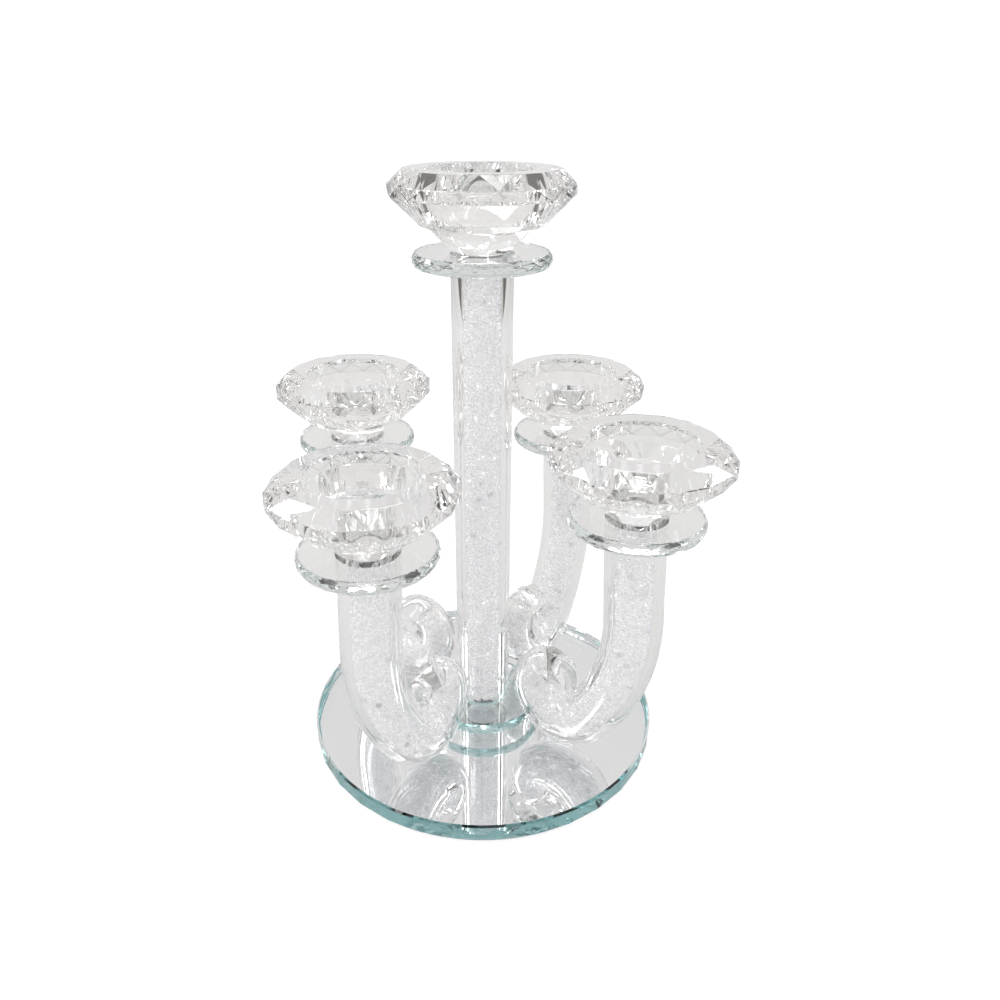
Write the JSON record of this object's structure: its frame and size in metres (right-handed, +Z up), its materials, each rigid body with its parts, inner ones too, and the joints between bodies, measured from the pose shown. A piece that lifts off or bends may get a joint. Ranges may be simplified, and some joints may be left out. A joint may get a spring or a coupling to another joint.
{
  "type": "candelabra",
  "caption": "Crystal-glass candelabra with scrolled tube arms round a taller column, cut-glass tealight cups and a round mirrored base.",
  "frame": {"origin": "centre of the flat underside of the base, on the column's axis", "axes": "+Z up along the column; +X towards arm 1 and +Y towards arm 2; arms 1 and 3 on the X axis are the taller pair"},
  "size_m": [0.203, 0.203, 0.2386],
  "materials": {
    "base_glass": "polished, faint blue-green at the cut edge",
    "silvering": "mirror silvering under the glass",
    "backing_paint": "matte protective film",
    "plate_glass": "polished, facet-cut edge",
    "tube_glass": "fire-polished, thick-walled",
    "cup_glass": "polished, facet-cut",
    "crystal_chips": "sparkling crushed crystal"
  },
  "bodies": {
    "root": {"base_glass": "base_glass", "base_silvering": "silvering", "base_backing": "backing_paint", "column_foot_disc": "plate_glass", "column_tube": "tube_glass", "column_crystals": "crystal_chips", "arm_1_tube": "tube_glass", "arm_2_tube": "tube_glass", "arm_3_tube": "tube_glass", "arm_4_tube": "tube_glass", "arm_1_crystals": "crystal_chips", "arm_2_crystals": "crystal_chips", "arm_3_crystals": "crystal_chips", "arm_4_crystals": "crystal_chips", "drip_plate_1": "plate_glass", "drip_plate_2": "plate_glass", "drip_plate_3": "plate_glass", "drip_plate_4": "plate_glass", "drip_plate_5": "plate_glass", "candle_cup_1": "cup_glass", "candle_cup_2": "cup_glass", "candle_cup_3": "cup_glass", "candle_cup_4": "cup_glass", "candle_cup_5": "cup_glass"}
  },
  "joints": []
}
